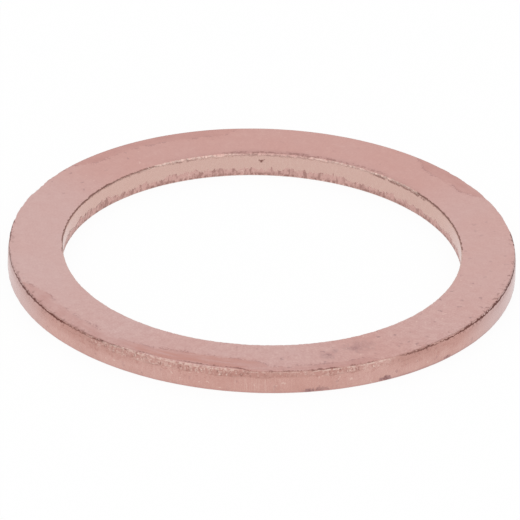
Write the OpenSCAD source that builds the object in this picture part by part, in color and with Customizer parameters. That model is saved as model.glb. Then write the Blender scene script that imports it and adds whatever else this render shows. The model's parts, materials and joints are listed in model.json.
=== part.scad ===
// Flat copper crush washer: one ring punched and blanked from soft copper sheet.
// Millimetres, +Z up. The origin is the centre of the bore at the lower sealing face.
// The punch went down through the bore, so the bore has its rolled edge on top and its torn zone below.
// The ring was then blanked out downwards, so the rim has its rolled edge below and its torn zone on top.

/* [Ring] */
// Diameter of the outer rim
rim_d = 32; // [20:0.5:60]
// Width of the ring from its rim to the bore that the bolt passes through
ring_w = 3.5; // [2:0.1:8]
// Thickness of the sheet
thickness = 1.6; // [1.2:0.1:3]

/* [Bore edge] */
// Radius of the rolled edge at the top of the bore
bore_roll_r = 0.12; // [0.05:0.01:0.3]
// Height of the torn zone under the smooth land of the bore
bore_tear_h = 0.6; // [0.2:0.05:0.8]
// How far the torn zone leans back from the land of the bore
bore_tear_lean = 0.04; // [0.02:0.01:0.15]

/* [Rim edge] */
// Radius of the rolled edge at the bottom of the rim
rim_roll_r = 0.12; // [0.05:0.01:0.3]
// Height of the torn zone above the smooth land of the rim
rim_tear_h = 0.5; // [0.2:0.05:0.8]
// How far the torn zone leans in from the land of the rim
rim_tear_lean = 0.04; // [0.02:0.01:0.15]

/* [Deburring] */
// Width of the edge break that tumbling leaves on the two burr edges
edge_break = 0.03; // [0.02:0.01:0.1]

/* [Hidden] */
$fn = 240;
copper = "#CDA6A0";
rim_r = rim_d / 2;
bore_r = rim_r - ring_w;
// Where the two torn zones end, at the burr edges
bore_burr_r = bore_r + bore_tear_lean;
rim_burr_r = rim_r - rim_tear_lean;
// How far a cutter runs past the surface that it cuts
overrun = 0.2;

// Half section of the sheared ring, in radius and height, before its edges are rolled.
module sheared_section() {
    polygon([
        [bore_burr_r + edge_break, 0],
        [rim_r, 0],
        [rim_r, thickness - rim_tear_h],
        [rim_burr_r, thickness - edge_break],
        [rim_burr_r - edge_break, thickness],
        [bore_r, thickness],
        [bore_r, bore_tear_h],
        [bore_burr_r, edge_break]
    ]);
}

// What rolling to radius r takes off a square corner at the origin, with the metal towards +X and +Y.
module corner_waste(r) {
    difference() {
        translate([-overrun, -overrun]) square(r + overrun);
        translate([r, r]) circle(r);
    }
}

// Half section of the finished ring.
module ring_section() {
    difference() {
        sheared_section();
        translate([bore_r, thickness]) mirror([0, 1]) corner_waste(bore_roll_r);
        translate([rim_r, 0]) mirror([1, 0]) corner_waste(rim_roll_r);
    }
}

module crush_washer() {
    color(copper) rotate_extrude() ring_section();
}

crush_washer();
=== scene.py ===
"""Looks of a flat copper crush washer: one sheared ring on a white studio floor.

Objects are in metres. Inside the node trees lengths are millimetres, as in the ring's CAD section.
The ring's relief and its copper finish share the same lines of torn metal, so its colour follows its form.
Angles round the ring are in degrees: 0 is to the right, 90 at the back and -90 at the front.
"""

import json
import math
from functools import reduce

import bpy
import numpy as np
from mathutils import Matrix, Vector


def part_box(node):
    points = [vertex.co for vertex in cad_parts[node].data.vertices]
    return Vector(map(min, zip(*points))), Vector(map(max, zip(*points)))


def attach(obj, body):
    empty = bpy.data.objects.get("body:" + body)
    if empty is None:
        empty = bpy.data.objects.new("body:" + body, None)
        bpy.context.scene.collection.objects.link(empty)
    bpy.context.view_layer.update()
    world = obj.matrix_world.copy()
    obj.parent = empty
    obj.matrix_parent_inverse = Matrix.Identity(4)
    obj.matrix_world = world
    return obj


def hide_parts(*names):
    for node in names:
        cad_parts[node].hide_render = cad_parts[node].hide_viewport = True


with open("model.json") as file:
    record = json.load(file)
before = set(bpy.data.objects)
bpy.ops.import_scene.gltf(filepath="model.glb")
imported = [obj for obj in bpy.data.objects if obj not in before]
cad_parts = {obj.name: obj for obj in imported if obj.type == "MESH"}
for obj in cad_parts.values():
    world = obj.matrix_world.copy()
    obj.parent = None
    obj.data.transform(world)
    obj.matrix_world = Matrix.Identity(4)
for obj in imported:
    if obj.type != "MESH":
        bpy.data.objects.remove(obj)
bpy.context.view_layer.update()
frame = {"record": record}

scene = bpy.context.scene
MM = 0.001
PER_MM = 1 / MM

# Sizes of the ring in millimetres, from the frame
_, ring_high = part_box("crush_washer")
bore_mount = next(m for m in frame["record"]["mounts"] if m["name"] == "bore")
BORE_R = bore_mount["dims"]["r_mm"]
RIM_R = ring_high.x * PER_MM
MIDDLE_R = (BORE_R + RIM_R) * 0.5
THICKNESS = ring_high.z * PER_MM

# Sizes of the sheared edges in millimetres, as in the CAD section
BORE_TEAR_H = 0.6
BORE_TEAR_LEAN = 0.04
RIM_TEAR_H = 0.5
RIM_TEAR_LEAN = 0.04

# How far the ragged line of a torn zone strays from the CAD line, and how far below it the bore's lies
BORE_STRAY = 0.3
BORE_TEAR_DROP = 0.05
RIM_STRAY = 0.15
# How deep the broken metal of a torn zone goes
CRAG_DEPTH = 0.06
# How far beside the burr edge of the rim the mesh is fine
CRACK_MARGIN = 0.2
# How far the crack lies below the edge where the burr was folded, and in from it where the burr was laid over
CRACK_DROP = 0.12
CRACK_RISE = 0.26
# How far the folded burr is rounded off, down the wall and in on the face
LIP_REACH = 0.16

# The strips that the ring is laid out in for the bake, and the room left round them on that map
STRIPS = 3
STRIP_ROOM = 0.004
HALF_LOOP = 0.5

# The named inputs of the ring's node tree, with its lengths in millimetres
RING_SIZES = {
    "Bore radius": BORE_R,
    "Rim radius": RIM_R,
    "Thickness": THICKNESS,
    "Bore roll radius": 0.12,
    "Bore tear height": BORE_TEAR_H,
    "Bore tear lean": BORE_TEAR_LEAN,
    "Bore stray": BORE_STRAY,
    "Rim roll radius": 0.12,
    "Rim tear height": RIM_TEAR_H,
    "Rim tear lean": RIM_TEAR_LEAN,
    "Rim stray": RIM_STRAY,
    "Edge break": 0.03,
    # How far beside the edges the mesh is set off from the faces
    "Edge margin": 0.08,
    "Crack margin": CRACK_MARGIN,
    # Depth of the relief, all of it into the metal
    "Crag depth": CRAG_DEPTH,
    "Streak depth": 0.008,
    "Crack depth": 0.03,
    "Dent depth": 0.045,
    "Wave depth": 0.04,
    "Pit depth": 0.05,
    # Spacing of points along the section, and points on a roll and round the ring
    "Face spacing": 1.2,
    "Land spacing": 0.16,
    "Torn spacing": 0.062,
    "Edge spacing": 0.03,
    "Roll points": 4,
    "Steps around": 471 * STRIPS,
}

# Marked stretches round the ring, each by its middle angle, half width, fade and strength.
# Here the torn zone of the bore reaches higher, with millimetres as the strength.
HIGH_BORE_TEARS = [(158, 14, 8, 0.12), (112, 8, 6, 0.05)]
# Here the torn zone of the rim is broken, and elsewhere the die smeared it.
ROUGH_RIM = [(-97, 34, 10, 1.0), (-58, 8, 6, 0.8)]
# The dark crack along the burr edge of the rim, with oxide in it and a painted dark reflection
RIM_CRACKS = [
    (178, 6, 4, 0.6), (-170, 8, 4, 0.7), (-151, 9, 5, 0.95), (-134, 4, 3, 0.4), (-126, 4, 3, 0.32),
    (-116, 5, 4, 0.32), (-104, 8, 4, 0.35), (-94, 4, 3, 0.4), (-85, 4, 3, 0.32), (-77, 4, 3, 0.4),
    (-66, 2, 2, 0.32), (-48, 6, 4, 0.55), (-36, 6, 5, 0.85), (-19, 12, 10, 1.0), (2, 6, 5, 0.6),
]
# Here the burr was folded right over, so that its crack lies on the wall, below a rounded lip.
FOLDED_BURR = [(-147, 25, 10, 1.0), (-28, 24, 10, 1.0)]
# Here the burr lies over the edge instead, so that its crack is on the upper face.
LAID_BURR = [(-109, 13, 5, 1.0)]
# The painted dark reflection and shade along the rolled edge of the bore
BORE_EDGE_LINES = [
    (171, 11, 6, 0.6), (150, 9, 6, 0.65), (135, 11, 4, 0.46), (30, 6, 8, 0.62), (14, 9, 6, 0.55),
]
# Here that painted shade lies on the wall instead, under a bright rolled edge.
BORE_UNDER_LINES = [(114, 3, 3, 0.6), (46, 9, 4, 0.85)]
# Here the roll is wider, and its upper end on the face gets a painted dark reflection.
WIDE_ROLL_LINES = [(90, 11, 4, 0.7), (74, 5, 3, 0.8), (65, 6, 3, 0.6), (56, 2, 2, 0.6)]
DENTED_BORE_EDGES = [(78, 38, 10, 1.0), (150, 20, 10, 0.6), (20, 18, 10, 0.5)]
DENTED_RIM_EDGES = [(166, 16, 8, 1.0), (-172, 8, 6, 0.7), (20, 20, 10, 0.5)]
# Here the face and roll beside the bore's edge get painted shade, a darker reflection of a wider roll, with
# dark specks of grime in it
SHADED_BORE_EDGES = [(88, 9, 5, 1.0), (70, 6, 6, 0.6), (52, 8, 6, 0.4), (108, 8, 8, 0.4)]
# Here the rolled edge of the bore gets a stronger painted highlight
HIGHLIGHTED_BORE_EDGES = [
    (116, 10, 3, 1.0), (101, 3, 2, 0.6), (72, 4, 2, 0.9), (57, 12, 4, 1.0), (43, 3, 2, 0.8),
]
# Here the rim's torn zone has more painted glints and pits, and its edge a stronger painted highlight
BRIGHT_RIM = [(-113, 16, 6, 1.0), (-69, 7, 4, 0.9), (-84, 6, 5, 0.3)]
DARK_RIM = [(-90, 7, 4, 0.8), (-77, 6, 3, 0.5), (-105, 6, 4, 0.4)]
RED_RIM = [(-90, 10, 16, 0.26)]
SMEARED_RIM = [(-128, 22, 10, 1.0), (-92, 8, 6, 0.5), (-45, 22, 10, 0.8)]
STREAKED_RIM = [(-90, 4, 2, 1.0), (-112, 5, 4, 0.3), (-50, 5, 4, 0.3)]
FILMED_RIM = [(-6, 12, 22, 1.0), (-176, 12, 22, 0.8)]
# Here the painted shade along the foot of the rim is stronger
SHADED_RIM_FEET = [(-40, 16, 10, 0.25)]
# On the upper face: a grey film, stronger grain, and specks
GREY_FACE = [(198, 30, 38, 1.05), (-8, 28, 30, 0.75), (-105, 25, 22, 0.75)]
GRAINY_FRONT = [(-90, 40, 30, 0.4)]
GRAINY_RIGHT = [(-48, 22, 18, 0.2)]
SPECKED_FACE = [
    (-50, 32, 12, 1.0), (-95, 14, 10, 0.5), (5, 10, 12, 0.4), (132, 16, 10, 0.8), (80, 25, 15, 0.3),
]
# Dull bands along the rim on the upper face, with their width in millimetres as the strength
RIM_BANDS = [
    (-125, 28, 10, 1.2), (-102, 10, 8, 1.6), (-90, 14, 10, 0.8), (-70, 5, 5, 0.8),
    (40, 5, 9, 1.2), (127, 7, 8, 0.95), (109, 8, 6, 1.05),
]
PALER_BANDS = [(-135, 8, 10, 0.2)]
RED_BANDS = [(-106, 9, 10, 1.0)]

# Stains on the upper face: angle, radius, size and strength
FACE_STAINS = [
    (-62.9, 13.8, 0.9, 0.35), (-66, 13.9, 0.5, 0.4), (-70.2, 13.9, 0.35, 0.4), (-72.6, 14.4, 0.5, 0.35),
    (-74.1, 15.1, 0.14, 0.7), (-52, 13.7, 0.13, 0.6), (-53.4, 14.8, 0.14, 0.35), (-46.1, 15.1, 0.12, 0.5),
    (-47.8, 14.0, 0.1, 0.5), (-39.3, 14.1, 0.11, 0.5), (-25.6, 14.0, 0.12, 0.5), (-22.8, 15.0, 0.15, 0.4),
    (-0.2, 15.3, 0.13, 0.3), (1.8, 12.8, 0.11, 0.3),
]
# Stains at the foot of the rim: angle, height, size and strength
RIM_STAINS = [
    (-78.4, 0.12, 0.6, 0.85), (-75.2, 0.2, 0.55, 0.5), (-60.2, 0.2, 0.42, 0.85), (-42.8, 0.18, 0.28, 0.7),
]
# How many times wider than high those stains are
STAIN_WIDTH = 2.2
# Pits in the land of the bore: angle, height and size
BORE_PITS = [
    (91, 1.06, 0.14), (90.6, 1.11, 0.1), (90.2, 1.18, 0.09), (91.6, 1.14, 0.08),
    (97, 1.37, 0.07), (109, 1.37, 0.07),
]
# Dark and bright specks: how many to a millimetre, their size, the share of places that has one, and their
# strength, then how far their outlines bend and how far apart the two patterns are
FACE_SPECKS = ((1.5, 0.2, 0.55, 0.6), (1.8, 0.15, 0.45, 0.4), (0.6, 0.6, 0), (7.3, 2.9, 0))
RIM_SPECKS = ((1.7, 0.22, 0.5, 0.35), (1.7, 0.2, 0.5, 0.35), (0.6, 0.6, 0.6), (4.1, 8.7, 0))

# The camera, fitted to the outlines of the ring in the photograph
IMAGE_SIDE = 520
CAMERA_ELEVATION = math.radians(28.6)
CAMERA_ROLL = math.radians(1.7)
CAMERA_DISTANCE = 1.2
RIM_RADIUS_PIXELS = 254.27
RING_CENTRE_PIXEL = (261.5, 270.57)
SENSOR_WIDTH = 36.0
# The nearest and farthest that the camera sees, as shares of its distance
NEAREST = 0.1
FARTHEST = 10

# The studio, in metres and watts
FLOOR_HALF = 0.6
FLOOR_PAINT = (0.95, 0.95, 0.95, 1)
# How much of the floor's look is plain white, with the rest lit and shaded
FLOOR_GLOW = 0.93
WHITE = (1, 1, 1, 1)
DOME_LEAST = 0.6
DOME_FRONT = 0.75
LAMP_SIDE = 1.0
LAMP_POWER = 1.2
LAMP_PLACE = (0, -0.45, 0.8)

# Colours of the copper, as linear light
SATIN_COPPER = (0.613, 0.35, 0.312, 1)
GREY_COPPER = (0.634, 0.429, 0.404, 1)
DULL_COPPER = (0.52, 0.275, 0.25, 1)
RED_COPPER = (0.54, 0.25, 0.2, 1)
BORE_LAND = (0.645, 0.431, 0.376, 1)
RIM_LAND = (0.632, 0.38, 0.336, 1)
SILVERY_FILM = (0.6, 0.46, 0.45, 1)
BORE_TORN = (0.645, 0.398, 0.358, 1)
# The torn colour of the rim, which also paints the shade under a folded burr
RIM_TORN_AND_SHADE = (0.5, 0.26, 0.222, 1)
# Dark oxide, which also paints dark reflections and shade along the edges
DARK_OXIDE_AND_SHADE = (0.15, 0.046, 0.036, 1)
# Purple stain, which also paints shade beside the bore's edge and along the rim's foot
PURPLE_STAIN_AND_SHADE = (0.34, 0.19, 0.19, 1)
# Bright metal, which also paints highlights and glints
BRIGHT_METAL_AND_HIGHLIGHT = (0.85, 0.65, 0.57, 1)
# What copper keeps of white light at a grazing angle
GRAZING_TINT = (0.97, 0.93, 0.93, 1)

# Soft noise lies about this value
NOISE_MIDDLE = 0.5


def math_method(operation, reflected=False):
    """A method of a value that adds a Math node for it and another value."""

    def method(self, other):
        return self.math(operation, other, self) if reflected else self.math(operation, self, other)

    return method


class Value:
    """An output socket of a node tree. Operators on it add Math nodes."""

    def __init__(self, graph, socket):
        self.graph = graph
        self.socket = socket

    def math(self, operation, *terms):
        return self.graph.node("ShaderNodeMath", {"operation": operation}, dict(enumerate(terms)))

    __add__ = math_method("ADD")
    __radd__ = math_method("ADD", reflected=True)
    __sub__ = math_method("SUBTRACT")
    __rsub__ = math_method("SUBTRACT", reflected=True)
    __mul__ = math_method("MULTIPLY")
    __rmul__ = math_method("MULTIPLY", reflected=True)
    __truediv__ = math_method("DIVIDE")
    __rtruediv__ = math_method("DIVIDE", reflected=True)
    least = math_method("MINIMUM")
    most = math_method("MAXIMUM")

    def __abs__(self):
        return self.math("ABSOLUTE", self)

    def other(self, name):
        """Another output of the same node."""
        return Value(self.graph, self.socket.node.outputs[name])


class Graph:
    """A geometry or shader node tree, and the few patterns that both kinds use."""

    # How sharply the cells with a dot are told from those without
    CHANCE_FADE = 0.02

    def __init__(self, tree):
        self.tree = tree

    def node(self, kind, settings=None, sockets=None, output=0):
        """Adds a node: its settings first, then the values or links of its sockets, by name or place."""
        made = self.tree.nodes.new(kind)
        for name, setting in (settings or {}).items():
            if name == "items":
                while len(made.index_switch_items) < setting:
                    made.index_switch_items.new()
            else:
                setattr(made, name, setting)
        usable = [s for s in made.inputs if s.enabled]
        by_name = {s.name: s for s in reversed(usable)}
        for key, value in (sockets or {}).items():
            socket = usable[key] if isinstance(key, int) else by_name[key]
            if isinstance(value, Value):
                self.tree.links.new(value.socket, socket)
            else:
                socket.default_value = value
        results = [s for s in made.outputs if s.enabled]
        if not results:
            return None
        return Value(self, results[output] if isinstance(output, int) else made.outputs[output])

    def point(self, x, y, z):
        return self.node("ShaderNodeCombineXYZ", sockets={"X": x, "Y": y, "Z": z})

    def vector(self, operation, *terms):
        return self.node("ShaderNodeVectorMath", {"operation": operation}, dict(enumerate(terms)))

    def step(self, value, low, high):
        """Rises smoothly from 0 at low to 1 at high, or falls if low is the higher one."""
        settings = {"interpolation_type": "SMOOTHSTEP"}
        sockets = {"Value": value, "From Min": low, "From Max": high}
        return self.node("ShaderNodeMapRange", settings, sockets)

    def noise(self, place, per_mm, detail=2.0, roughness=0.5):
        """Soft noise from 0 to 1, with per_mm features in a millimetre."""
        sockets = {"Vector": place, "Scale": per_mm, "Detail": detail, "Roughness": roughness}
        return self.node("ShaderNodeTexNoise", sockets=sockets)

    def dots(self, place, per_mm, size, share):
        """Round dots scattered over a surface: a share of the cells of a loose grid has one."""
        sockets = {"Vector": place, "Scale": per_mm}
        distance = self.node("ShaderNodeTexVoronoi", sockets=sockets)
        chance = self.node("ShaderNodeSeparateXYZ", sockets={0: distance.other("Color")})
        chosen = self.step(chance, share, share - self.CHANCE_FADE)
        return self.step(distance, size, size * 0.5) * chosen

    def blend(self, share, first, second):
        """First colour at share 0, second at share 1."""
        sockets = {"Factor": share, "A": first, "B": second}
        return self.node("ShaderNodeMix", {"data_type": "RGBA"}, sockets)

    def painted(self, colour, *layers):
        """The colour under layers, each of them a mask, its strength and its own colour."""
        for mask, strength, tint in layers:
            colour = self.blend(mask * strength, colour, tint)
        return colour


class Ring(Graph):
    """A node tree that knows where a point lies on the ring, in millimetres."""

    # Half the width of the line between a wall and a face
    WALL_FADE = 0.01
    # The share of a spot's size that is fully marked
    SPOT_CORE = 0.4

    def __init__(self, tree, place):
        super().__init__(tree)
        self.place = place
        self.height = self.node("ShaderNodeSeparateXYZ", sockets={0: place}, output="Z")
        flat = self.vector("MULTIPLY", place, (1, 1, 0))
        self.radius = self.vector("LENGTH", flat)
        self.heading = self.vector("NORMALIZE", flat)
        below_top = THICKNESS - self.height
        off_bore = self.radius - BORE_R
        off_rim = RIM_R - self.radius
        # Across an upper edge: below 0 on the face, 0 at the edge itself and above 0 down the wall
        self.over_bore_edge = below_top - off_bore
        self.over_rim_edge = below_top + RIM_TEAR_LEAN - off_rim
        under_torn_bore = self.height + BORE_TEAR_LEAN + CRAG_DEPTH - off_bore
        on_bore = self.over_bore_edge.least(under_torn_bore)
        on_rim = self.over_rim_edge.least(self.height - off_rim)
        self.on_bore_wall = self.step(on_bore, -self.WALL_FADE, self.WALL_FADE)
        self.on_rim_wall = self.step(on_rim, -self.WALL_FADE, self.WALL_FADE)
        upper_part = self.step(self.height, THICKNESS * 0.7, THICKNESS * 0.8)
        self.on_top = upper_part * (1 - self.on_bore_wall) * (1 - self.on_rim_wall)

    def on_circle(self, radius):
        """The point's heading on a circle of this radius, for patterns that change only round the ring."""
        return self.vector("MULTIPLY", self.heading, (radius, radius, 0))

    def pattern(self, per_mm, detail, roughness, upright=1.0):
        """Soft noise over the ring from 0 to 1, drawn out upwards where upright is below 1."""
        place = self.vector("MULTIPLY", self.place, (1, 1, upright))
        return self.noise(place, per_mm, detail, roughness)

    def facing(self, degrees, half_width, fade):
        """1 on the stretch of ring within half_width of an angle, fading out over fade more degrees."""
        angle = math.radians(degrees)
        direction = (math.cos(angle), math.sin(angle), 0)
        along = self.vector("DOT_PRODUCT", self.heading, direction)
        inside = math.cos(math.radians(half_width))
        outside = math.cos(math.radians(half_width + fade))
        return self.step(along, outside, inside)

    def stretches(self, marks):
        """The strength of the marked stretches round the ring, and 0 between them."""
        return reduce(Value.most, [self.facing(*where) * strength for *where, strength in marks])

    def graded(self, least, added, marks):
        """A strength that is least everywhere, to which the marked stretches add."""
        return least + added * self.stretches(marks)

    def spot(self, degrees, radius, height, size, wobble=0.0, width=1.0):
        """1 within a spot of this size, width times wider than high, with an edge that may wobble."""
        angle = math.radians(degrees)
        middle = (radius * math.cos(angle), radius * math.sin(angle), height)
        away = self.vector("SUBTRACT", self.place, middle)
        distance = self.vector("LENGTH", self.vector("MULTIPLY", away, (1, 1, width)))
        return self.step(distance + wobble * size, size, size * self.SPOT_CORE)


# From here on, a pair named FADE has the distances or heights between which a mark comes in, and a pair of
# strengths has the strength everywhere and what marked stretches add to it.

# How much broad swells and fine teeth count in the ragged lines of the torn zones
BORE_SWELL = 1.5
BORE_TEETH = 4.0
RIM_TEETH = 1.2


def bore_tear(ring):
    """How deep a point lies below the ragged upper line of the torn zone of the bore, in millimetres."""
    swell = ring.noise(ring.on_circle(BORE_R), 0.35, 1.0) - NOISE_MIDDLE
    teeth = ring.pattern(2.8, 3.0, 0.7, upright=0.3) - NOISE_MIDDLE
    line = BORE_TEAR_H - BORE_TEAR_DROP + ring.stretches(HIGH_BORE_TEARS)
    return line - ring.height + BORE_STRAY * (BORE_SWELL * swell + BORE_TEETH * teeth)


def rim_tear(ring):
    """How high a point lies above the ragged lower line of the torn zone of the rim, in millimetres."""
    swell = ring.noise(ring.on_circle(RIM_R), 0.3, 1.0) - NOISE_MIDDLE
    teeth = ring.pattern(2.8, 3.0, 0.6, upright=0.6) - NOISE_MIDDLE
    return ring.height - THICKNESS + RIM_TEAR_H + RIM_STRAY * (swell + RIM_TEETH * teeth)


# Half the width in which torn metal passes into smooth metal, in the relief and, softer, in the rim's colour
TEAR_FADE = 0.03
SOFT_TEAR_FADE = 0.08


def torn_share(ring, tear, fade=TEAR_FADE):
    """1 in a torn zone and 0 on the smooth land beside it."""
    return ring.step(tear, -fade, fade)


RIM_ROUGHNESS = (0.3, 0.7)


def rim_roughness(ring):
    """How broken the torn zone of the rim is: 1 where it is rough, less where the die smeared it."""
    return ring.graded(*RIM_ROUGHNESS, ROUGH_RIM)


def crags(ring):
    """Depth of the broken metal in the torn zones, from 0 to 1."""
    return ring.pattern(7.0, 3.0, 0.65, upright=0.7)


def die_streaks(ring):
    """Upright streaks that the die draws down the smooth lands, from 0 to 1."""
    return ring.pattern(12.0, 2.0, 0.7, upright=0.06)


# Dark lines along the edges: how dark the faintest are, what full strength adds, how noise breaks them up,
# and between which strengths they come in
FAINTEST_LINE = 0.4
STRONGER_LINE = 0.6
LINE_BREAKS = 1.2
LINE_STARTS = (0.15, 0.5)

# The rim's crack: its least half width, what full strength adds above and below, and how it strays
CRACK_HALF = 0.02
CRACK_ABOVE = 0.065
CRACK_BELOW = 0.06
CRACK_UPPER_JAG = 0.5
CRACK_LOWER_JAG = 0.35
CRACK_DRIFT = 0.3
CRACK_UPPER_FADE = 0.02
CRACK_LOWER_FADE = 0.025
CRACK_DRIFT_BREAKS = 0.5


def rim_crack(ring):
    """The dark crack along the burr edge of the rim, painted with oxide and a dark reflection: 1 in it, 0
    beside it.
    """
    jag = ring.pattern(4.2, 3.0, 0.7) - NOISE_MIDDLE
    drift = ring.noise(ring.on_circle(RIM_R), 0.9, 2.0) - NOISE_MIDDLE
    strength = ring.stretches(RIM_CRACKS)
    across = ring.over_rim_edge - CRACK_DROP * ring.stretches(FOLDED_BURR)
    across = across + CRACK_RISE * ring.stretches(LAID_BURR)
    upper_side = across + CRACK_HALF + CRACK_ABOVE * strength + CRACK_UPPER_JAG * jag + CRACK_DRIFT * drift
    lower_side = across - CRACK_HALF - CRACK_BELOW * strength + CRACK_LOWER_JAG * jag
    above = ring.step(upper_side, -CRACK_UPPER_FADE, CRACK_UPPER_FADE)
    below = ring.step(lower_side, CRACK_LOWER_FADE, -CRACK_LOWER_FADE)
    present = ring.step(strength + LINE_BREAKS * jag + CRACK_DRIFT_BREAKS * drift, *LINE_STARTS)
    return above * below * present * (FAINTEST_LINE + STRONGER_LINE * strength)


def rim_lip(ring):
    """How far the folded burr is rounded off at the upper edge of the rim, in millimetres."""
    off_edge = abs(ring.over_rim_edge) / LIP_REACH
    share = (1 - off_edge.least(1.0)) * ring.stretches(FOLDED_BURR)
    return share * share * (1 - math.sqrt(0.5)) * LIP_REACH


# The bore's painted dark line: its half width on the face, what full strength adds above and below, and its
# fade
BORE_LINE_HALF = 0.08
BORE_LINE_ABOVE = 0.06
BORE_LINE_BELOW = 0.03
BORE_LINE_FADE = 0.03
# The painted shade on the wall, and the painted dark reflection at the upper end of a wide roll
UNDER_LINE_DROP = 0.14
UNDER_LINE_FADE = (0.09, 0.03)
UNDER_LINE_DARKNESS = 0.7
WIDE_ROLL_LINE_RISE = 0.24
WIDE_ROLL_LINE_FADE = (0.15, 0.06)
WIDE_ROLL_LINE_DARKNESS = 0.5


def bore_edge_line(ring):
    """The painted dark reflection and shade along the rolled edge of the bore: 1 in it."""
    jag = ring.pattern(3.4, 3.0, 0.7) - NOISE_MIDDLE
    gaps = ring.noise(ring.on_circle(BORE_R), 2.6, 3.0, 0.7) - NOISE_MIDDLE
    across = ring.over_bore_edge
    at_edge = ring.stretches(BORE_EDGE_LINES)
    upper_side = across + BORE_LINE_HALF + BORE_LINE_ABOVE * at_edge + 0.35 * jag
    lower_side = across - BORE_LINE_BELOW * at_edge + 0.2 * jag
    above = ring.step(upper_side, -BORE_LINE_FADE, BORE_LINE_FADE)
    below = ring.step(lower_side, BORE_LINE_FADE, -BORE_LINE_FADE)
    present = ring.step(at_edge + LINE_BREAKS * jag, *LINE_STARTS)
    line = above * below * present * (FAINTEST_LINE + STRONGER_LINE * at_edge)

    # Painted shade on the wall, under a bright rolled edge
    under = ring.stretches(BORE_UNDER_LINES)
    off_under = abs(across - UNDER_LINE_DROP + 0.4 * jag)
    present = ring.step(under + 2.5 * jag - 3.0 * gaps, 0.3, 0.8)
    under_line = ring.step(off_under, *UNDER_LINE_FADE) * present
    under_line = under_line * UNDER_LINE_DARKNESS * under

    # Painted dark reflection at the upper end of a wide roll
    at_roll = ring.stretches(WIDE_ROLL_LINES)
    off_roll = abs(across + WIDE_ROLL_LINE_RISE + 0.9 * jag)
    present = ring.step(at_roll + 2.5 * jag + 4.0 * gaps, 0.4, 0.8)
    wide_roll_shade = ring.step(off_roll, *WIDE_ROLL_LINE_FADE) * present
    return line.most(under_line).most(wide_roll_shade * WIDE_ROLL_LINE_DARKNESS * at_roll)


# Dents on the bore's edge and at the foot of the rim, and how much deeper those of the burr edge are
BORE_DENT_FADE = (0.17, 0.08)
BORE_DENT = (0.3, 0.7)
FOOT_DENT_FADE = (0.2, 0.1)
FOOT_DENT = 0.4
BROAD_DENT = 2.0


def edge_dents(ring):
    """Dents along the edges: from 0 to 1 on the rolled ones, and to 2 on the burr edge of the rim."""
    at_bore = ring.step(abs(ring.over_bore_edge), *BORE_DENT_FADE)
    at_bore = at_bore * ring.graded(*BORE_DENT, DENTED_BORE_EDGES)
    at_rim_foot = ring.step(ring.height, *FOOT_DENT_FADE) * ring.on_rim_wall * FOOT_DENT
    small = at_bore.most(at_rim_foot) * ring.step(ring.pattern(3.6, 3.0, 0.65), 0.38, 0.66)
    at_rim_top = ring.step(abs(ring.over_rim_edge), CRACK_MARGIN, 0.0) * ring.stretches(DENTED_RIM_EDGES)
    broad = at_rim_top * ring.step(ring.noise(ring.on_circle(RIM_R), 1.0, 2.0, 0.6), 0.45, 0.65)
    return small.most(BROAD_DENT * broad)


def waves(ring):
    """The slight unevenness of the cut round the ring, from 0 to 1."""
    return ring.noise(ring.on_circle(RIM_R), 0.45, 3.0, 0.6)


def bore_pits(ring):
    """Pits in the land of the bore."""
    return reduce(Value.most, [ring.spot(degrees, BORE_R, *pit) for degrees, *pit in BORE_PITS])


def ring_outline(graph, size):
    """The closed outline of the half section: a curve with its radius in X and its height in Y."""
    top = size["Thickness"]
    edge = size["Edge break"]
    margin = size["Edge margin"]
    bore = size["Bore radius"]
    rim = size["Rim radius"]
    bore_burr = bore + size["Bore tear lean"]
    rim_burr = rim - size["Rim tear lean"]
    bore_roll = size["Bore roll radius"]
    rim_roll = size["Rim roll radius"]
    bore_torn = size["Bore tear height"]
    rim_torn = top - size["Rim tear height"]
    crack = size["Crack margin"]
    face = size["Face spacing"]
    land = size["Land spacing"]
    torn = size["Torn spacing"]
    fine = size["Edge spacing"]
    # The share of the torn zone of the rim that is meshed finely for the crack
    cracked = crack / (size["Rim tear height"] - edge)
    # Radius, height, the radius that the corner is rolled to, and the spacing of points to the next corner
    corners = [
        (bore_burr + edge, 0, 0, face),
        (bore_burr + edge + margin, 0, 0, face),
        (rim - rim_roll - margin, 0, 0, face),
        (rim, 0, rim_roll, land),
        (rim, rim_torn - size["Rim stray"], 0, torn),
        (rim, rim_torn, 0, torn),
        (rim_burr + size["Rim tear lean"] * cracked, top - edge - crack, 0, fine),
        (rim_burr, top - edge, 0, fine),
        (rim_burr - edge, top, 0, fine),
        (rim_burr - edge - crack, top, 0, face),
        (bore + bore_roll + margin, top, 0, fine),
        (bore, top, bore_roll, land),
        (bore, bore_torn + size["Bore stray"], 0, torn),
        (bore, bore_torn, 0, torn),
        (bore_burr, edge, 0, fine),
    ]
    count = len(corners)
    index = graph.node("GeometryNodeInputIndex")
    columns = zip(*[(graph.point(r, h, 0), roll, spacing) for r, h, roll, spacing in corners])
    switched = []
    for kind, column in zip(("VECTOR", "FLOAT", "FLOAT"), columns):
        settings = {"data_type": kind, "items": count}
        choices = dict(enumerate(column, 1))
        switched.append(graph.node("GeometryNodeIndexSwitch", settings, {0: index, **choices}))
    place, roll, spacing = switched
    points = graph.node("GeometryNodePoints", sockets={"Count": count, "Position": place})
    outline = graph.node("GeometryNodePointsToCurves", sockets={"Points": points})
    outline = graph.node("GeometryNodeSetSplineCyclic", sockets={"Geometry": outline, "Cyclic": True})
    outline = stored(graph, outline, "spacing", "FLOAT", spacing)
    sockets = {"Curve": outline, "Count": size["Roll points"], "Radius": roll}
    outline = graph.node("GeometryNodeFilletCurve", {"mode": "POLY"}, sockets)
    return subdivided(graph, outline)


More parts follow.
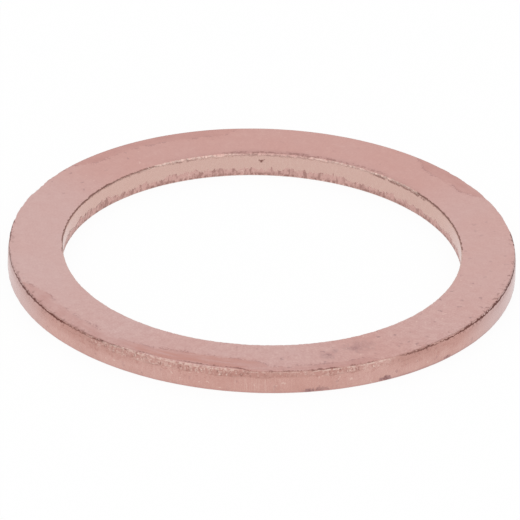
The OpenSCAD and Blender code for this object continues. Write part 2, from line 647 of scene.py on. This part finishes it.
def subdivided(graph, outline):
    """The outline with more points between its corners, as close together as their spacing says."""
    here = graph.node("GeometryNodeInputPosition")
    following = graph.node("GeometryNodeOffsetPointInCurve", sockets={"Offset": 1}, output="Point Index")
    settings = {"data_type": "FLOAT_VECTOR", "domain": "POINT"}
    there = graph.node("GeometryNodeFieldAtIndex", settings, {"Value": here, "Index": following})
    run = graph.vector("SUBTRACT", there, here)
    cuts = graph.vector("LENGTH", run) / named(graph, "spacing", "FLOAT")
    cuts = cuts.math("FLOOR", cuts)
    return graph.node("GeometryNodeSubdivideCurve", sockets={"Curve": outline, "Cuts": cuts})


def stored(graph, geometry, name, data_type, value):
    """The geometry with a value kept at each of its points, under a name."""
    settings = {"data_type": data_type, "domain": "POINT"}
    sockets = {"Geometry": geometry, "Name": name, "Value": value}
    return graph.node("GeometryNodeStoreNamedAttribute", settings, sockets)


def named(graph, name, data_type):
    """A value that was kept under this name."""
    return graph.node("GeometryNodeInputNamedAttribute", {"data_type": data_type}, {"Name": name})


# Half the width in which the bore's half of the ring passes into the rim's half
HALVES_FADE = 0.1
# Where on the face the crack's relief fades out, short of the end of the fine mesh
CRACK_RELIEF_END = (0.05 - CRACK_MARGIN, 0.1 - CRACK_MARGIN)


def relief(ring, size):
    """How far the sheared metal lies off the plain section: a vector in millimetres, into the metal."""
    crag = crags(ring)
    drawn = die_streaks(ring) * size["Streak depth"]
    into_bore = drawn + torn_share(ring, bore_tear(ring)) * crag * size["Crag depth"]
    into_bore = into_bore + bore_pits(ring) * size["Pit depth"]
    into_rim = drawn + torn_share(ring, rim_tear(ring)) * crag * rim_roughness(ring) * size["Crag depth"]
    cracked = rim_crack(ring) * size["Crack depth"]
    lip = rim_lip(ring)
    dent = edge_dents(ring) * size["Dent depth"]
    bore_half = ring.step(ring.radius, MIDDLE_R + HALVES_FADE, MIDDLE_R - HALVES_FADE)
    waved = waves(ring) * size["Wave depth"]
    outwards = ring.on_bore_wall * into_bore - ring.on_rim_wall * (into_rim + cracked) - lip
    outwards = outwards + (dent + waved) * (2 * bore_half - 1)
    near_rim_edge = ring.step(ring.over_rim_edge, *CRACK_RELIEF_END)
    sunk = cracked * (1 - ring.on_rim_wall) * near_rim_edge + lip + dent * bore_half
    sockets = {0: ring.heading, "Scale": outwards}
    sideways = ring.node("ShaderNodeVectorMath", {"operation": "SCALE"}, sockets)
    return ring.vector("SUBTRACT", sideways, ring.point(0, 0, sunk))


def washer_tree(finish):
    """Geometry nodes that sweep the section round the axis and then break its sheared edges."""
    tree = bpy.data.node_groups.new("sheared_ring", "GeometryNodeTree")
    for name in RING_SIZES:
        kind = "NodeSocketInt" if isinstance(RING_SIZES[name], int) else "NodeSocketFloat"
        tree.interface.new_socket(name, in_out="INPUT", socket_type=kind)
    tree.interface.new_socket("Ring", in_out="OUTPUT", socket_type="NodeSocketGeometry")
    graph = Graph(tree)
    inputs = graph.node("NodeGroupInput")
    size = {name: inputs.other(name) for name in RING_SIZES}

    outline = ring_outline(graph, size)
    flat = graph.node("ShaderNodeSeparateXYZ", sockets={0: graph.node("GeometryNodeInputPosition")})
    along = graph.node("GeometryNodeSplineParameter", output="Factor")
    section = graph.point(flat, flat.other("Y"), along)
    outline = stored(graph, outline, "section", "FLOAT_VECTOR", section)
    sockets = {"Resolution": size["Steps around"], "Radius": 1.0}
    path = graph.node("GeometryNodeCurvePrimitiveCircle", sockets=sockets)
    around = graph.node("GeometryNodeSplineParameter", output="Factor")
    path = stored(graph, path, "around", "FLOAT", around)
    mesh = graph.node("GeometryNodeCurveToMesh", sockets={"Curve": path, "Profile Curve": outline})

    section = graph.node("ShaderNodeSeparateXYZ", sockets={0: named(graph, "section", "FLOAT_VECTOR")})
    angle = named(graph, "around", "FLOAT") * math.tau
    x = section * angle.math("COSINE", angle)
    y = section * angle.math("SINE", angle)
    swept = graph.point(x, y, section.other("Y"))
    mesh = graph.node("GeometryNodeSetPosition", sockets={"Geometry": mesh, "Position": swept})
    here = graph.node("GeometryNodeInputPosition")
    broken = graph.vector("ADD", here, relief(Ring(tree, here), size))
    in_metres = graph.vector("MULTIPLY", broken, (MM, MM, MM))
    mesh = graph.node("GeometryNodeSetPosition", sockets={"Geometry": mesh, "Position": in_metres})
    mesh = graph.node("GeometryNodeFlipFaces", sockets={"Mesh": mesh})
    mesh = graph.node("GeometryNodeSetShadeSmooth", sockets={"Geometry": mesh, "Shade Smooth": True})
    mesh = graph.node("GeometryNodeRealizeInstances", sockets={"Geometry": mesh})
    mesh = graph.node("GeometryNodeSetMaterial", sockets={"Geometry": mesh, "Material": finish})
    graph.node("NodeGroupOutput", sockets={"Ring": mesh})
    return tree


def placed(name, data):
    """A new object in the scene."""
    made = bpy.data.objects.new(name, data)
    scene.collection.objects.link(made)
    return made


def emptied(owner):
    """The node tree of a new material or world, without its first nodes."""
    owner.use_nodes = True
    owner.node_tree.nodes.clear()
    return owner.node_tree


def unroll(mesh):
    """Lays the ring's surface out flat for the bake: strips of its way round, one above another."""
    corner_points = np.empty(len(mesh.loops), dtype=np.int32)
    mesh.loops.foreach_get("vertex_index", corner_points)
    around = np.empty(len(mesh.vertices), dtype=np.float32)
    mesh.attributes["around"].data.foreach_get("value", around)
    section = np.empty(len(mesh.vertices) * 3, dtype=np.float32)
    mesh.attributes["section"].data.foreach_get("vector", section)
    across = section.reshape(-1, 3)[:, 2]
    faces = len(mesh.polygons)
    around = around[corner_points].reshape(faces, -1)
    across = across[corner_points].reshape(faces, -1)
    # A face that closes a loop has corners at both ends of it, so those at its start count as past its end
    around = around + (around < around.max(axis=1, keepdims=True) - HALF_LOOP)
    across = across + (across < across.max(axis=1, keepdims=True) - HALF_LOOP)
    strip = np.floor(around.mean(axis=1, keepdims=True) * STRIPS)
    flat = np.empty((faces, around.shape[1], 2), dtype=np.float32)
    flat[:, :, 0] = STRIP_ROOM + (around * STRIPS - strip) * (1 - 2 * STRIP_ROOM)
    flat[:, :, 1] = (strip + STRIPS * STRIP_ROOM + across * (1 - 2 * STRIPS * STRIP_ROOM)) / STRIPS
    bake_map = mesh.uv_layers.new(name="OFBake")
    bake_map.uv.foreach_set("vector", flat.ravel())
    for name in ("around", "section", "spacing"):
        mesh.attributes.remove(mesh.attributes[name])


def make_washer(finish):
    """The ring as a plain mesh at the origin."""
    piece = placed("washer_ring", bpy.data.meshes.new("start"))
    modifier = piece.modifiers.new("sheared_ring", "NODES")
    modifier.node_group = washer_tree(finish)
    for item in modifier.node_group.interface.items_tree:
        if item.in_out == "INPUT":
            modifier[item.identifier] = RING_SIZES[item.name]
    depsgraph = bpy.context.evaluated_depsgraph_get()
    made = bpy.data.meshes.new_from_object(piece.evaluated_get(depsgraph))
    piece.modifiers.clear()
    start = piece.data
    piece.data = made
    bpy.data.meshes.remove(start)
    made.name = "washer_ring"
    unroll(made)
    return piece


def specked(ring, colour, dark, bright, bend, shift, where=1.0):
    """The colour with small dark and bright specks that have crooked outlines."""
    bends = ring.pattern(3.0, 2.0, 0.6).other("Color")
    crooked = ring.vector("MULTIPLY_ADD", bends, bend, ring.place)
    shifted = ring.vector("ADD", crooked, shift)
    *dark_dots, dark_strength = dark
    *bright_dots, bright_strength = bright
    return ring.painted(
        colour,
        (ring.dots(crooked, *dark_dots) * where, dark_strength, PURPLE_STAIN_AND_SHADE),
        (ring.dots(shifted, *bright_dots) * where, bright_strength, BRIGHT_METAL_AND_HIGHLIGHT),
    )


# The grey film of the faces, and its unevenness
FILM = (0.1, 0.75)
FILM_UNEVENNESS = 0.8
# How strongly mottle and grain dull or brighten the faces, and their share outside the grainy stretches
DULL_MOTTLE = 0.22
DULL_GRAIN = 0.36
BRIGHT_MOTTLE = 0.08
BRIGHT_GRAIN = 0.16
FACE_GRAIN_LEAST = 0.5


def face_colour(ring):
    """Satin faces under a thin uneven film, with specks, dull bands and stains on the upper one."""
    cloud = ring.pattern(0.3, 3.0, 0.55) - NOISE_MIDDLE
    mottle = ring.pattern(1.9, 3.0, 0.6)
    grain = ring.pattern(7.5, 2.0, 0.6)
    ragged = ring.pattern(1.2, 4.0, 0.65) - NOISE_MIDDLE
    film = ring.graded(*FILM, GREY_FACE) + FILM_UNEVENNESS * cloud
    grained = FACE_GRAIN_LEAST + ring.stretches(GRAINY_FRONT) + ring.stretches(GRAINY_RIGHT)
    dulled = ring.step(mottle, 0.42, 0.7) * DULL_MOTTLE + ring.step(grain, 0.4, 0.7) * DULL_GRAIN
    cleaned = ring.step(mottle, 0.5, 0.32) * BRIGHT_MOTTLE + ring.step(grain, 0.45, 0.3) * BRIGHT_GRAIN
    colour = ring.painted(
        SATIN_COPPER,
        (film, 1.0, GREY_COPPER),
        (dulled, grained, DULL_COPPER),
        (cleaned, grained, BRIGHT_METAL_AND_HIGHLIGHT),
    )
    colour = specked(ring, colour, *FACE_SPECKS, ring.stretches(SPECKED_FACE) * ring.on_top)
    return stained(ring, banded(ring, colour, ragged, grain), ragged, grain)


# How much narrower than their marks the bands along the rim are, and how ragged their inner lines
BAND_SHORTFALL = 0.1
BAND_RAGGEDNESS = 0.9
BAND_GRAIN = 0.5
# Rubs in the bands are drawn out along the rim and packed across it
RUB_ALONG = 0.3
RUB_ACROSS = 3.0
# How dull a band is everywhere, and what rubs and patches add
BAND_DULLNESS = 0.15
BAND_RUBS = 0.3
BAND_PATCHES = 0.3
# How red the bands are everywhere, and what the reddened ones and their rubs add
BAND_RED = 0.08
RED_BAND = 0.06
RED_RUBS = 0.46
# The dark line along the inner side of a band
BAND_LINE_MIDDLE = 0.08
BAND_LINE_FADE = (0.14, 0.04)


def banded(ring, colour, ragged, grain):
    """The upper face with dull bands along the rim, which have ragged inner lines."""
    patches = ring.pattern(0.8, 2.0, 0.5)
    reach = ring.stretches(RIM_BANDS) - BAND_SHORTFALL + BAND_RAGGEDNESS * ragged
    reach = reach + BAND_GRAIN * (grain - NOISE_MIDDLE) + ring.over_rim_edge
    packed = ring.point(0, 0, ring.radius * RUB_ACROSS)
    along_rim = ring.vector("ADD", ring.on_circle(RIM_R * RUB_ALONG), packed)
    rubs = ring.step(ring.noise(along_rim, 1.0, 4.0, 0.65), 0.36, 0.64)
    dull = BAND_DULLNESS + BAND_RUBS * rubs + BAND_PATCHES * ring.step(patches + 0.5 * ragged, 0.3, 0.7)
    dull = dull - ring.stretches(PALER_BANDS)
    red = BAND_RED + ring.stretches(RED_BANDS) * (RED_BAND + RED_RUBS * rubs)
    line = ring.step(abs(reach - BAND_LINE_MIDDLE), *BAND_LINE_FADE)
    line = line * ring.step(patches + 0.6 * ragged, 0.4, 0.55) * ring.on_top
    return ring.painted(
        colour,
        (ring.step(reach, -0.02, 0.08) * ring.on_top, dull, DULL_COPPER),
        (red * ring.step(reach, -0.35, 0.3) * ring.on_top, 1.0, RED_COPPER),
        (line * ring.step(grain, 0.4, 0.6), 0.5, PURPLE_STAIN_AND_SHADE),
    )


# How far the edges of the face's stains wobble, and how the grain shows in them
FACE_STAIN_WOBBLE = 3.0
STAIN_LEAST = 0.6
STAIN_GRAIN = 0.8


def stained(ring, colour, ragged, grain):
    """The upper face with its stains."""
    wobble = FACE_STAIN_WOBBLE * ragged + FACE_STAIN_WOBBLE * (grain - NOISE_MIDDLE)
    grainy = STAIN_LEAST + STAIN_GRAIN * ring.step(grain, 0.38, 0.62)
    for degrees, radius, size, strength in FACE_STAINS:
        stain = ring.spot(degrees, radius, THICKNESS, size, wobble) * grainy
        colour = ring.blend(stain * strength, colour, PURPLE_STAIN_AND_SHADE)
    return colour


# Oxide, dots and the bright edge at the foot of the bore
FOOT_FADE = (0.36, 0.12)
FOOT_DOTS_FADE = (0.22, 0.08)
FOOT_EDGE_FADE = (0.08, 0.04)


def bore_colour(ring, colour):
    """The bore: a burnished land, and below it torn metal with painted glints, and oxide in its fringe and
    along its foot.
    """
    torn = torn_share(ring, bore_tear(ring))
    spikes = ring.pattern(4.0, 3.0, 0.65, upright=0.25)
    mottle = ring.pattern(5.0, 3.0, 0.65, upright=0.6)
    grain = ring.pattern(8.0, 2.0, 0.6, upright=0.5)
    fringe = torn * ring.step(spikes, 0.47, 0.62)
    foot = ring.step(ring.height, *FOOT_FADE) * ring.step(mottle, 0.42, 0.56)
    foot_dots = ring.step(ring.height, *FOOT_DOTS_FADE) * ring.step(mottle, 0.52, 0.6)
    wall = ring.painted(
        BORE_LAND,
        (ring.step(grain, 0.5, 0.7), 0.16, SATIN_COPPER),
        (ring.step(grain, 0.5, 0.3), 0.1, BRIGHT_METAL_AND_HIGHLIGHT),
        (torn, 1.0, BORE_TORN),
        # Painted glints on the torn metal
        (torn * ring.step(crags(ring), 0.42, 0.3), 0.5, BRIGHT_METAL_AND_HIGHLIGHT),
        (fringe.most(foot), 0.44, DARK_OXIDE_AND_SHADE),
        (foot_dots, 0.35, DARK_OXIDE_AND_SHADE),
        (ring.step(ring.height, *FOOT_EDGE_FADE), 0.35, BRIGHT_METAL_AND_HIGHLIGHT),
        (bore_pits(ring), 1.0, DARK_OXIDE_AND_SHADE),
    )
    return ring.blend(ring.on_bore_wall, colour, wall)


# Smears, the painted shade under a folded burr and how far it strays, scores, and bright streaks of the die
SMEAR_FADE = (0.45, 0.85)
SHADE_FADE = (0.55, 1.0)
SHADE_STRAY = 0.4
SCORE_FADE = (0.7, 0.1)
STREAKS = (0.05, 0.1)


def rim_land(ring, torn, mottle, cloud):
    """The burnished land of the rim with its grain, specks and smears, painted shade under a folded burr, and
    the streaks of the die.
    """
    streaks = die_streaks(ring)
    grain = ring.pattern(8.0, 2.0, 0.6, upright=0.7)
    land = ring.painted(
        RIM_LAND,
        (ring.step(cloud, 0.4, 0.7), 0.3, RIM_TORN_AND_SHADE),
        (ring.stretches(RED_RIM), 1.0, RED_COPPER),
        (ring.step(grain, 0.5, 0.7), 0.14, RIM_TORN_AND_SHADE),
        (ring.step(grain, 0.5, 0.3), 0.1, BRIGHT_METAL_AND_HIGHLIGHT),
    )
    land = specked(ring, land, *RIM_SPECKS)
    smears = ring.step(ring.pattern(2.2, 4.0, 0.75, upright=1.5), 0.54, 0.62)
    smears = smears * ring.step(ring.height, *SMEAR_FADE) * ring.stretches(SMEARED_RIM)
    shade = ring.step(ring.height + SHADE_STRAY * (mottle - NOISE_MIDDLE), *SHADE_FADE)
    shade = shade * ring.stretches(FOLDED_BURR)
    drawn = ring.step(streaks, 0.45, 0.65) * ring.graded(*STREAKS, STREAKED_RIM)
    scores = ring.step(streaks, 0.52, 0.68) * ring.step(ring.height, *SCORE_FADE)
    return ring.painted(
        land,
        (smears, 0.7, RIM_TORN_AND_SHADE),
        # Painted shade under a folded burr
        (shade, 0.48, RIM_TORN_AND_SHADE),
        (ring.stretches(FILMED_RIM), 0.6, SILVERY_FILM),
        (drawn, 1 - torn, BRIGHT_METAL_AND_HIGHLIGHT),
        (scores * ring.step(cloud, 0.4, 0.6), 0.35, PURPLE_STAIN_AND_SHADE),
    )


# The torn zone of the rim: how far clouds and the dark stretches darken it
TORN_CLOUD = 0.2
TORN_DARK = 0.7
# Its bright specks, which are painted glints, its pits, and the dark ledge along its lower line
TORN_GLINTS = (0.2, 0.55)
TORN_PITS = (0.26, 0.2)
LEDGE_FADE = (0.05, 0.01)
# How the foot of the rim is darkened by painted shade, for the contact shadow that its rolled edge reflects
RIM_FOOT_FADE = (0.24, 0.08)
RIM_FOOT_LEAST = 0.12
# How far the edges of its stains wobble, and how dark their cores are
STAIN_MOTTLE_WOBBLE = 2.0
STAIN_UPRIGHT_WOBBLE = 3.0
STAIN_CORE = 0.5


def rim_colour(ring, colour):
    """The rim: a burnished land, above it torn metal with painted glints and dark specks, painted shade along
    its foot, and stains at its foot.
    """
    tear = rim_tear(ring)
    torn = torn_share(ring, tear, SOFT_TEAR_FADE)
    rough = rim_roughness(ring)
    mottle = ring.pattern(5.0, 3.0, 0.65, upright=0.7)
    cloud = ring.pattern(0.8, 3.0, 0.6)
    darkened = TORN_CLOUD * ring.step(cloud, 0.4, 0.6) + TORN_DARK * ring.stretches(DARK_RIM)
    flecks = 0.5 * (crags(ring) + ring.pattern(10.0, 3.0, 0.65, upright=0.8))
    specks = torn * ring.step(flecks, 0.46, 0.38) * ring.graded(*TORN_GLINTS, BRIGHT_RIM)
    flakes = torn * ring.step(ring.pattern(4.0, 2.0, 0.5, upright=1.2), 0.5, 0.6)
    pits = torn * ring.step(mottle, 0.56, 0.68) * rough
    ledge = ring.step(abs(tear), *LEDGE_FADE) * ring.step(cloud, 0.45, 0.6) * rough
    foot = ring.step(ring.height, *RIM_FOOT_FADE)
    wall = ring.painted(
        rim_land(ring, torn, mottle, cloud),
        (torn * darkened, rough, RIM_TORN_AND_SHADE),
        # Painted glints on the torn metal
        (specks, rough, BRIGHT_METAL_AND_HIGHLIGHT),
        (flakes * ring.stretches(BRIGHT_RIM), 0.3, BRIGHT_METAL_AND_HIGHLIGHT),
        (pits, ring.graded(*TORN_PITS, BRIGHT_RIM), DARK_OXIDE_AND_SHADE),
        (ledge, 0.2, DARK_OXIDE_AND_SHADE),
        # Painted shade along the foot of the rim
        (foot, RIM_FOOT_LEAST + ring.stretches(SHADED_RIM_FEET), PURPLE_STAIN_AND_SHADE),
    )
    upright = ring.pattern(4.5, 3.0, 0.65, upright=0.4) - NOISE_MIDDLE
    wobble = STAIN_MOTTLE_WOBBLE * (mottle - NOISE_MIDDLE) + STAIN_UPRIGHT_WOBBLE * upright
    for degrees, height, size, strength in RIM_STAINS:
        stain = ring.spot(degrees, RIM_R, height, size, wobble, STAIN_WIDTH) * strength
        core = stain * ring.step(mottle, 0.45, 0.6)
        wall = ring.painted(wall, (stain, 1.0, PURPLE_STAIN_AND_SHADE), (core, STAIN_CORE, DARK_OXIDE_AND_SHADE))
    return ring.blend(ring.on_rim_wall, colour, wall)


# The burnished roll of the bore
ROLL_FADE = (0.15, 0.1)
# Painted highlights along the edges: how far they stray or lie down the wall, how they fade, and their
# strength
BORE_HIGHLIGHT_STRAY = 0.5
BORE_HIGHLIGHT_FADE = (0.13, 0.06)
BORE_HIGHLIGHT = (0.1, 0.7)
RIM_HIGHLIGHT_DROP = 0.09
RIM_HIGHLIGHT_FADE = (0.07, 0.03)
RIM_HIGHLIGHT = (0.2, 0.4)
# How much further in, and how much wider, the painted highlight is on a burr that lies over the edge
LAID_HIGHLIGHT_SHIFT = 0.12
LAID_HIGHLIGHT_HALF = 0.06


def edge_wear_and_painted_light(ring, colour, line):
    """The colour with painted highlights along its edges, and with oxide, grime, painted shade and painted
    dark reflections darkening them.
    """
    over_bore = ring.over_bore_edge
    over_rim = ring.over_rim_edge
    edge_breakup = ring.pattern(5.0, 3.0, 0.65)
    # Painted highlights along the bore's edge and just below the rim's edge
    at_bore = ring.step(abs(over_bore + BORE_HIGHLIGHT_STRAY * (edge_breakup - NOISE_MIDDLE)), *BORE_HIGHLIGHT_FADE)
    at_bore = at_bore * ring.graded(*BORE_HIGHLIGHT, HIGHLIGHTED_BORE_EDGES)
    laid = ring.stretches(LAID_BURR)
    off_rim = abs(over_rim - RIM_HIGHLIGHT_DROP + LAID_HIGHLIGHT_SHIFT * laid) - LAID_HIGHLIGHT_HALF * laid
    at_rim = ring.step(off_rim, *RIM_HIGHLIGHT_FADE) * ring.graded(*RIM_HIGHLIGHT, BRIGHT_RIM)
    # Painted shade on the face and roll beside the bore's edge, with specks of grime in it
    edge_shade = ring.step(over_bore, -0.8, -0.1) * ring.step(over_bore, 0.16, 0.06)
    edge_shade = edge_shade * ring.stretches(SHADED_BORE_EDGES)
    grime_and_shade = ring.step(over_bore, -0.35, -0.2) * edge_shade * ring.step(edge_breakup, 0.48, 0.58)
    beside_crack = ring.step(over_rim, -0.6, -0.1) * ring.step(over_rim, 0.6, 0.2)
    blots = beside_crack * ring.stretches(RIM_CRACKS) * ring.step(ring.pattern(3.6, 3.0, 0.65), 0.56, 0.64)
    return ring.painted(
        colour,
        (ring.step(abs(over_bore), *ROLL_FADE), 0.7, BORE_LAND),
        # Painted highlights along the edges
        (at_bore.most(at_rim), ring.step(edge_breakup, 0.42, 0.58), BRIGHT_METAL_AND_HIGHLIGHT),
        (edge_shade, 0.3, PURPLE_STAIN_AND_SHADE),
        (grime_and_shade, 0.25, DARK_OXIDE_AND_SHADE),
        # Oxide in the rim's crack with a painted dark reflection, and the painted dark line along the bore's
        # edge
        (line, 0.92, DARK_OXIDE_AND_SHADE),
        (blots, 0.5, DARK_OXIDE_AND_SHADE),
    )


# Roughness of the satin faces, and how speckle, burnished walls, torn metal and dark lines change it
SATIN_ROUGHNESS = 0.36
SPECKLE_ROUGHNESS = 0.1
BURNISH = 0.13
TORN_ROUGHNESS = 0.2
LINE_ROUGHNESS = 0.2
# Fine bump, in millimetres where it is full, and the shares of speckle and streaks in it
BUMP_DEPTH = 0.02
BUMP_STRENGTH = 0.6
SPECKLE_BUMP = 0.1
STREAK_BUMP = 0.2


def copper_finish():
    """Tumbled, lightly tarnished soft copper: satin faces, burnished lands, oxide in the torn zones."""
    material = bpy.data.materials.new("copper")
    graph = Graph(emptied(material))
    coordinates = graph.node("ShaderNodeTexCoord", output="Object")
    place = graph.vector("MULTIPLY", coordinates, (PER_MM, PER_MM, PER_MM))
    ring = Ring(graph.tree, place)
    line = rim_crack(ring).most(bore_edge_line(ring))
    colour = rim_colour(ring, bore_colour(ring, face_colour(ring)))
    colour = edge_wear_and_painted_light(ring, colour, line)

    torn_in_bore = torn_share(ring, bore_tear(ring)) * ring.on_bore_wall
    torn_on_rim = torn_share(ring, rim_tear(ring)) * ring.on_rim_wall * rim_roughness(ring)
    torn = torn_in_bore + torn_on_rim
    on_wall = ring.on_bore_wall + ring.on_rim_wall
    speckle = ring.pattern(6.0, 2.0, 0.6)
    roughness = SATIN_ROUGHNESS + SPECKLE_ROUGHNESS * (speckle - NOISE_MIDDLE) - BURNISH * on_wall
    roughness = roughness + TORN_ROUGHNESS * torn + LINE_ROUGHNESS * line
    height = speckle * SPECKLE_BUMP + torn * crags(ring) + on_wall * die_streaks(ring) * STREAK_BUMP
    sockets = {"Strength": BUMP_STRENGTH, "Distance": BUMP_DEPTH * MM, "Height": height}
    bump = graph.node("ShaderNodeBump", sockets=sockets)
    sockets = {"Base Color": colour, "Metallic": 1.0, "Roughness": roughness, "Normal": bump}
    sockets["Specular Tint"] = GRAZING_TINT
    shader = graph.node("ShaderNodeBsdfPrincipled", sockets=sockets)
    graph.node("ShaderNodeOutputMaterial", sockets={"Surface": shader})
    return material


def seen_rays(graph):
    """1 for rays that show a surface directly, in metal or through glass, and 0 for those that light it."""
    path = graph.node("ShaderNodeLightPath")
    return path.most(path.other("Is Glossy Ray")).most(path.other("Is Transmission Ray"))


def make_floor():
    """A white floor that still takes the ring's shadow."""
    mesh = bpy.data.meshes.new("floor")
    signs = [(-1, -1), (1, -1), (1, 1), (-1, 1)]
    corners = [(x * FLOOR_HALF, y * FLOOR_HALF, 0) for x, y in signs]
    mesh.from_pydata(corners, [], [(0, 1, 2, 3)])
    material = bpy.data.materials.new("white_floor")
    graph = Graph(emptied(material))
    matt = graph.node("ShaderNodeBsdfDiffuse", sockets={"Color": FLOOR_PAINT})
    white = graph.node("ShaderNodeEmission", sockets={"Color": WHITE, "Strength": 1.0})
    shown = graph.node("ShaderNodeMixShader", sockets={0: seen_rays(graph) * FLOOR_GLOW, 1: matt, 2: white})
    graph.node("ShaderNodeOutputMaterial", sockets={"Surface": shown})
    mesh.materials.append(material)
    return placed("floor", mesh)


def light_studio():
    """A white dome, dimmer half way up at the sides, and one soft lamp above the front."""
    world = bpy.data.worlds.new("studio")
    graph = Graph(emptied(world))
    direction = graph.node("ShaderNodeTexCoord", output="Generated")
    across = graph.node("ShaderNodeSeparateXYZ", sockets={0: direction})
    behind = across.other("Y")
    up = across.other("Z")
    overhead = graph.step(up, 0.45, 0.75)
    horizon = graph.step(up, 0.25, 0.1)
    backdrop = graph.step(behind, 0.45, 0.8)
    front = graph.step(behind, -0.3, -0.75) * DOME_FRONT
    lit = overhead.most(horizon).most(backdrop).most(front)
    light = DOME_LEAST + (1 - DOME_LEAST) * lit
    shown = graph.node("ShaderNodeBackground", sockets={"Color": WHITE, "Strength": light})
    graph.node("ShaderNodeOutputWorld", sockets={"Surface": shown})
    scene.world = world

    lamp = bpy.data.lights.new("front_softbox", "AREA")
    lamp.shape = "SQUARE"
    lamp.size = LAMP_SIDE
    lamp.energy = LAMP_POWER
    softbox = placed("front_softbox", lamp)
    softbox.location = LAMP_PLACE
    softbox.rotation_euler = (-softbox.location).to_track_quat("-Z", "Y").to_euler()


def place_camera():
    """The camera at the photograph's viewing angle, turned and framed as the photograph is."""
    lens = bpy.data.cameras.new("camera")
    pixel = RIM_R * MM / RIM_RADIUS_PIXELS
    lens.sensor_width = SENSOR_WIDTH
    lens.lens = SENSOR_WIDTH * CAMERA_DISTANCE / (IMAGE_SIDE * pixel)
    lens.clip_start = CAMERA_DISTANCE * NEAREST
    lens.clip_end = CAMERA_DISTANCE * FARTHEST
    camera = placed("camera", lens)

    level_right = Vector((1, 0, 0))
    level_up = Vector((0, math.sin(CAMERA_ELEVATION), math.cos(CAMERA_ELEVATION)))
    back = Vector((0, -math.cos(CAMERA_ELEVATION), math.sin(CAMERA_ELEVATION)))
    right = level_right * math.cos(CAMERA_ROLL) + level_up * math.sin(CAMERA_ROLL)
    up = level_up * math.cos(CAMERA_ROLL) - level_right * math.sin(CAMERA_ROLL)
    pixels_right = RING_CENTRE_PIXEL[0] - IMAGE_SIDE / 2
    pixels_down = RING_CENTRE_PIXEL[1] - IMAGE_SIDE / 2
    aim = up * pixels_down * pixel - right * pixels_right * pixel
    turn = Matrix((right, up, back)).transposed().to_4x4()
    camera.matrix_world = Matrix.Translation(aim + back * CAMERA_DISTANCE) @ turn
    scene.camera = camera


scene.view_settings.view_transform = "Standard"
place_camera()
light_studio()
floor = make_floor()

washer = make_washer(copper_finish())
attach(washer, "root")
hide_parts("crush_washer")
